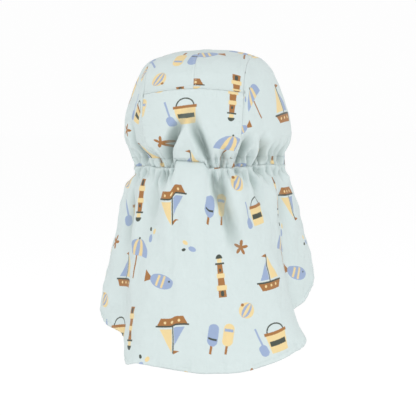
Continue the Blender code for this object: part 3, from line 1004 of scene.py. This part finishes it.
def normals(surface, u, v):
    """A surface's places, its unit normals and how far its folds move the cloth out."""
    step = 1e-4
    here = surface(u, v)
    across = surface(np.clip(u + step, 0, 1), v) - surface(np.clip(u - step, 0, 1), v)
    up = surface(u, np.clip(v + step, 0, 1)) - surface(u, np.clip(v - step, 0, 1))
    normal = np.cross(across[..., :3], up[..., :3])
    normal = normal / np.maximum(np.linalg.norm(normal, axis=-1, keepdims=True), 1e-12)
    return here[..., :3], normal, here[..., 3]


def sheet_mesh(name, surface, flat, relief, columns, rows, side=1, closed=False):
    """A grid bent to a surface, with its relief, the flat cloth's places as a UV map and its faces outwards.

    flat(u, v) gives places on the flat cloth, relief(u, v) gives (height, seam), and side is -1 where the
    surface's u and v turn the other way.
    """
    shape = bmesh.new()
    shape.loops.layers.uv.new("cloth")
    bmesh.ops.create_grid(shape, x_segments=columns, y_segments=rows, size=0.5, calc_uvs=True)
    mesh = new_mesh(name, shape)
    place = np.empty(len(mesh.vertices) * 3)
    mesh.vertices.foreach_get("co", place)
    uv = place.reshape(-1, 3)[:, :2] + 0.5
    u, v = uv[:, 0], uv[:, 1]
    here, normal, moved_out = normals(surface, u, v)
    height, seam = relief(u, v)
    here = here + side * normal * height[:, None]
    mesh.vertices.foreach_set("co", here.ravel())
    # Besides the seams' wear, each point keeps how deep a fold has pushed it in, which the cloth's colour
    # darkens with as painted shade.
    for attribute, values in (("seam", seam), ("painted_fold_shade", ease(-moved_out / PAINTED_SHADE_DEPTH))):
        mesh.attributes.new(attribute, "FLOAT", "POINT").data.foreach_set("value", values)
    corners = np.empty(len(mesh.loops) * 2)
    mesh.uv_layers["cloth"].data.foreach_get("uv", corners)
    corners = corners.reshape(-1, 2)
    x, y = flat(corners[:, 0], corners[:, 1])
    across, up, degrees = CUTS[name]
    c, s = math.cos(math.radians(degrees)), math.sin(math.radians(degrees))
    corners = np.stack([across + x * c - y * s, up + x * s + y * c], axis=1)
    mesh.uv_layers["cloth"].data.foreach_set("uv", corners.ravel())
    shape = bmesh.new()
    shape.from_mesh(mesh)
    if closed:
        bmesh.ops.remove_doubles(shape, verts=shape.verts, dist=1e-6)
    if side < 0:
        bmesh.ops.reverse_faces(shape, faces=shape.faces)
    shape.to_mesh(mesh)
    shape.free()
    return mesh


def cloth_piece(name, mesh, wall, inside=True):
    """A piece of printed cloth that is thick towards the head, with the paler finish on that side or not."""
    piece = link(name, mesh, bpy.data.materials["mint_cotton"])
    layer = piece.modifiers.new("cloth", "SOLIDIFY")
    layer.thickness = wall
    layer.offset = -1.0
    if inside:
        mesh.materials.append(bpy.data.materials["mint_cotton_inside"])
        layer.material_offset = 1
    return piece


def seam_dip(distance):
    """The relief beside a turned seam: a sharp dip at the seam and a low step where the allowance lies."""
    allowance, fall, step = 0.0052, 0.0010, 0.00025
    dip, dip_width = 0.00030, 0.0006
    return step * (1 - ease((distance - allowance) / fall)) - dip * np.exp(-distance / dip_width)


def panel_relief(width, height, sizes, at_casing):
    """Relief of a crown panel, which is sewn along all its edges but the one at the casing."""
    # How soon the crumples start and how soon the puckers and the wear fade beside a seam
    flat_edge, pucker_fade, wear_fade = 0.008, 0.0035, 0.0012
    pucker_height, crumple_share = 0.00055, -0.6

    def relief(u, v):
        edges = (u * width, (1 - u) * width, v * height, (1 - v) * height)
        alongs = (v * height, v * height, u * width, u * width)
        inside = ease(np.min(edges, axis=0) / flat_edge)
        raised = crumple_share * sizes.crumple * crumple(u * width, v * height) * inside
        seam = np.zeros_like(u)
        for distance, along, sewn in zip(edges, alongs, (True, True, not at_casing, True)):
            if sewn:
                fade = np.exp(-distance / pucker_fade) * ease(distance / 0.002)
                raised = raised + seam_dip(distance) + pucker_height * pucker(along) * fade
                seam = np.maximum(seam, np.exp(-distance / wear_fade))
        return raised, seam

    return relief


def flat_panel(width, height):
    """Places on the flat cloth of a piece that is nearly a rectangle."""
    return lambda u, v: ((u - 0.5) * width, v * height)


class CAP_OT_crown(bpy.types.Operator):
    """Make the crown's six cloth panels"""

    bl_idname = "cap.crown"
    bl_label = "Crown"

    def execute(self, context):
        sizes = context.scene.cap_sizes
        form = CapForm(sizes)
        cloth_finish("mint_cotton", context.scene.cap_colours)
        cloth_finish("mint_cotton_inside", context.scene.cap_colours, 0.50)
        strip = sizes.strip_width
        panels = [
            # node, surface, width, height, columns, rows, side
            ("crown_back", partial(form.panel, front=False), strip, 0.072, 190, 120, -1),
            ("crown_front", partial(form.panel, front=True), strip, 0.070, 110, 76, 1),
        ]
        for part, surface, *measures in (
            ("crown_top", form.top, strip / 2, 0.168, 56, 160),
            ("crown_side", form.side, 0.168, 0.096, 240, 110),
        ):
            for hand, side in (("left", 1), ("right", -1)):
                panels.append((f"{part}_{hand}", partial(surface, side=side), *measures, -side))
        for node, surface, width, height, columns, rows, side in panels:
            name = f"cloth_{node}"
            relief = panel_relief(width, height, sizes, "top" not in node)
            mesh = sheet_mesh(name, surface, flat_panel(width, height), relief, columns, rows, side)
            piece = cloth_piece(name, mesh, sizes.cloth)
            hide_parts(node)
        return {"FINISHED"}


class CAP_OT_casing(bpy.types.Operator):
    """Make the gathered casing of the elastic"""

    bl_idname = "cap.casing"
    bl_label = "Elastic casing"

    def execute(self, context):
        sizes = context.scene.cap_sizes
        form = CapForm(sizes)
        # How long the casing's cloth is, and how much of its puckers is left in front, where it isn't tight
        cloth_length, loose, wall = 0.66, 0.25, 0.0014
        pucker_height, wear_fade = 0.00045, 0.0008

        def relief(u, v):
            tight = near_back(180 - 360 * u, PUCKER_REACH)
            raised = pucker_height * pucker(u * cloth_length) * (loose + (1 - loose) * tight)
            raised = raised * ease(v / 0.25) * ease((1 - v) / 0.2)
            return raised, np.exp(-v * sizes.casing_height / wear_fade)

        spread = sizes.strip_width / (sizes.back_seam_left + sizes.back_seam_right)
        middle = (sizes.back_seam_left - sizes.back_seam_right) / 2

        def flat(u, v):
            return (180 - 360 * u - middle) * spread, (v - 1) * sizes.casing_height * 1.2

        mesh = sheet_mesh("cloth_casing", form.casing, flat, relief, 1400, 14, 1, closed=True)
        casing = cloth_piece("cloth_casing", mesh, wall)
        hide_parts("elastic_casing")
        return {"FINISHED"}


class CAP_OT_flap(bpy.types.Operator):
    """Make the long neck flap"""

    bl_idname = "cap.flap"
    bl_label = "Neck flap"

    def execute(self, context):
        sizes = context.scene.cap_sizes
        form = CapForm(sizes)
        across, down = form.flap_cloth
        even = np.linspace(0.0, 1.0, len(across))
        step, step_width, pucker_height, pucker_fade, wear_fade = 0.00035, 0.0008, 0.00040, 0.004, 0.0012

        def flat(u, v):
            return np.interp(u, even, across), -v * np.interp(u, even, down)

        def relief(u, v):
            x, y = flat(u, v)
            length = np.interp(u, even, down)
            hem = np.minimum((1 - v) * length, np.minimum(x - across[0], across[-1] - x))
            beyond = hem - sizes.hem_width
            raised = sizes.crumple * crumple(x, y) * ease(v / 0.15)
            raised = raised + step * (1 - ease(beyond / step_width))
            raised = raised + pucker_height * pucker(x) * np.exp(-np.maximum(beyond, 0.0) / pucker_fade)
            return raised, np.exp(-hem / wear_fade)

        mesh = sheet_mesh("cloth_flap", form.flap, flat, relief, 420, 110, 1)
        flap = cloth_piece("cloth_flap", mesh, sizes.cloth)
        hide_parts("neck_flap")
        return {"FINISHED"}


class CAP_OT_peak(bpy.types.Operator):
    """Make the soft peak"""

    bl_idname = "cap.peak"
    bl_label = "Peak"

    def execute(self, context):
        sizes = context.scene.cap_sizes
        form = CapForm(sizes)
        # The peak's thickness, its rows of stitches from the edge, and the grooves that these press into it
        padding, rows, groove, groove_width = 0.0028, (0.004, 0.012, 0.020), 0.0004, 0.0006
        crumple_height, wear_fade = 0.0006, 0.001

        def relief(u, v):
            inwards = (1 - v) * sizes.peak_length
            pressed = sum(np.exp(-((inwards - at) / groove_width) ** 2) for at in rows)
            raised = crumple_height * crumple(u * 0.17, v * 0.05) - groove * pressed
            return raised, np.exp(-inwards / wear_fade)

        mesh = sheet_mesh("cloth_peak", form.peak, flat_panel(0.172, 0.054), relief, 160, 60, -1)
        peak = cloth_piece("cloth_peak", mesh, padding, inside=False)
        edge = peak.modifiers.new("soft edge", "BEVEL")
        edge.width = 0.0011
        edge.segments = 3
        edge.limit_method = "ANGLE"
        edge.angle_limit = math.radians(50)
        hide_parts("peak")
        return {"FINISHED"}


def stitch_row(shape, places, facing, sizes):
    """Adds one row of stitches along places, on the side that facing points to."""
    steps = np.linalg.norm(np.diff(places, axis=0), axis=1)
    walked = np.concatenate([[0.0], np.cumsum(steps)])
    drawn, proud = 0.8 * sizes.stitch, 0.25 * sizes.thread

    def at(values, length):
        """What the row's values are at a length along it."""
        return Vector([np.interp(length, walked, values[:, axis]) for axis in range(3)])

    for start in np.arange(0.0, walked[-1] - sizes.stitch, sizes.stitch):
        first, last = at(places, start), at(places, start + drawn)
        up = at(facing, start + drawn / 2).normalized()
        along = last - first
        side = up.cross(along).normalized()
        middle = (first + last) / 2 + up * proud
        axes = Matrix((along / 2, side * sizes.thread / 2, up * sizes.thread / 2)).transposed().to_4x4()
        matrix = Matrix.Translation(middle) @ axes
        bmesh.ops.create_icosphere(shape, subdivisions=2, radius=1.0, matrix=matrix)


class CAP_OT_stitching(bpy.types.Operator):
    """Make the rows of stitches on the seams, the casing, the hem and the peak"""

    bl_idname = "cap.stitching"
    bl_label = "Stitching"

    def execute(self, context):
        sizes = context.scene.cap_sizes
        form = CapForm(sizes)
        thread = thread_finish("sewing_thread", context.scene.cap_colours)
        t = np.linspace(0.004, 0.996, 500)
        dense = np.linspace(0, 1, 1400)
        even = np.linspace(0, 1, len(t))
        level = np.ones_like(t)
        # Where the rows run: metres beside the crown's seams, and shares of the other pieces' heights
        off = 2 * 0.0022 / sizes.strip_width
        top_rows, casing_row, hem_row, peak_rows = (0.013, 0.987), 0.12, 0.85, (0.92, 0.76)
        across, down = form.flap_cloth
        hem = np.interp(t, np.linspace(0, 1, len(down)), down)
        crown = []
        for front, side in ((False, -1), (True, 1)):
            panel = partial(form.panel, front=front)
            crown += [(panel, level * place, t, side) for place in (off / 2, 1 - off / 2)]
        for side in (1, -1):
            top = partial(form.top, side=side)
            crown += [(top, level * place, t, -side) for place in (1 - off, off)]
            crown += [(top, t, level * place, -side) for place in top_rows]
        rows = {
            "stitches_crown": crown,
            "stitches_casing": [(form.casing, t, level * casing_row, 1)],
            "stitches_hem": [(form.flap, t, 1 - sizes.hem_width * hem_row / hem, 1)],
            "stitches_peak": [(form.peak, t, level * place, -1) for place in peak_rows],
        }
        for name, lines in rows.items():
            shape = bmesh.new()
            for surface, u, v, side in lines:
                places, facing = normals(surface, np.interp(dense, even, u), np.interp(dense, even, v))[:2]
                stitch_row(shape, places, side * facing, sizes)
            mesh = new_mesh(name, shape)
            mesh.uv_layers.new(name="cloth")
            link(name, mesh, thread)
        return {"FINISHED"}


def lamp(name, place, aim, width, power):
    """A soft square studio light."""
    light = bpy.data.lights.new(name, "AREA")
    light.size = width
    light.energy = power
    holder = bpy.data.objects.new(name, light)
    bpy.context.scene.collection.objects.link(holder)
    holder.location = place
    holder.rotation_euler = (Vector(aim) - Vector(place)).to_track_quat("-Z", "Y").to_euler()


class CAP_OT_stage(bpy.types.Operator):
    """Make the floor, the lights and the camera"""

    bl_idname = "cap.stage"
    bl_label = "Stage"

    def execute(self, context):
        scene = context.scene
        shape = bmesh.new()
        half_width, level = 8.0, -0.36
        bmesh.ops.create_grid(shape, x_segments=2, y_segments=2, size=half_width)
        bmesh.ops.translate(shape, verts=shape.verts, vec=(0.0, 0.0, level))
        mesh = new_mesh("floor", shape)
        floor = bpy.data.objects.new("floor", mesh)
        scene.collection.objects.link(floor)
        finish = Finish("studio_floor", scene.cap_colours.floor)
        shader = finish.term(
            "ShaderNodeBsdfPrincipled",
            Base_Color=opaque(scene.cap_colours.floor),
            Roughness=1.0,
            Specular_IOR_Level=0.0,
            Emission_Color=(1.0, 1.0, 1.0, 1.0),
            Emission_Strength=0.20,
        )
        finish.node("ShaderNodeOutputMaterial", Surface=shader)
        mesh.materials.append(finish.material)
        # The floor's brightness does not light the cap from below
        floor.visible_diffuse = False

        world = bpy.data.worlds.new("studio")
        world.use_nodes = True
        nodes, links = world.node_tree.nodes, world.node_tree.links
        nodes["Background"].inputs["Color"].default_value = (1.0, 1.0, 1.0, 1.0)
        backdrop, light = 0.985, 0.84
        strength = nodes.new("ShaderNodeMath")
        strength.operation = "MULTIPLY_ADD"
        strength.inputs[1].default_value = backdrop - light
        strength.inputs[2].default_value = light
        links.new(nodes.new("ShaderNodeLightPath").outputs["Is Camera Ray"], strength.inputs[0])
        links.new(strength.outputs[0], nodes["Background"].inputs["Strength"])
        scene.world = world
        lamp("key", (-0.32, 1.78, 0.45), (0.0, 0.0, -0.06), 1.1, 8.0)
        lamp("left fill", (1.40, 0.75, 0.20), (0.0, 0.0, -0.04), 1.0, 3.9)
        lamp("right fill", (-1.45, 0.65, -0.25), (0.0, 0.0, -0.10), 1.0, 6.0)

        azimuth, elevation, roll, distance = math.radians(189.0), math.radians(5.6), math.radians(-1.1), 1.45
        flat = math.cos(elevation)
        back = Vector((math.sin(azimuth) * flat, -math.cos(azimuth) * flat, math.sin(elevation)))
        camera = bpy.data.cameras.new("camera")
        camera.lens = 131.2
        camera.sensor_width = 36.0
        camera.clip_start = 0.05
        holder = bpy.data.objects.new("camera", camera)
        scene.collection.objects.link(holder)
        aim = Vector((0.0024, 0.0, -0.040))
        holder.location = aim + back * distance
        upright = back.to_track_quat("Z", "Y").to_matrix()
        holder.rotation_euler = (upright @ Matrix.Rotation(roll, 3, "Z")).to_euler()
        scene.camera = holder
        scene.view_settings.view_transform = "Standard"
        return {"FINISHED"}


class CAP_PT_sidebar(bpy.types.Panel):
    """The cap's pieces and settings"""

    bl_label = "Legionnaire cap"
    bl_idname = "CAP_PT_sidebar"
    bl_space_type = "VIEW_3D"
    bl_region_type = "UI"
    bl_category = "Cap"

    def draw(self, context):
        for operator in OPERATORS:
            self.layout.operator(operator.bl_idname)
        for group in (context.scene.cap_sizes, context.scene.cap_colours):
            box = self.layout.box()
            for name in group.bl_rna.properties.keys():
                if name not in ("rna_type", "name"):
                    box.prop(group, name)


OPERATORS = (CAP_OT_crown, CAP_OT_casing, CAP_OT_flap, CAP_OT_peak, CAP_OT_stitching, CAP_OT_stage)
CLASSES = (CapSizes, CapColours, *OPERATORS, CAP_PT_sidebar)


def register():
    for item in CLASSES:
        bpy.utils.register_class(item)
    bpy.types.Scene.cap_sizes = PointerProperty(type=CapSizes)
    bpy.types.Scene.cap_colours = PointerProperty(type=CapColours)


def unregister():
    del bpy.types.Scene.cap_colours
    del bpy.types.Scene.cap_sizes
    for item in reversed(CLASSES):
        bpy.utils.unregister_class(item)


def main():
    register()
    bpy.ops.cap.crown()
    bpy.ops.cap.casing()
    bpy.ops.cap.flap()
    bpy.ops.cap.peak()
    bpy.ops.cap.stitching()
    bpy.ops.cap.stage()


if __name__ == "__main__":
    main()
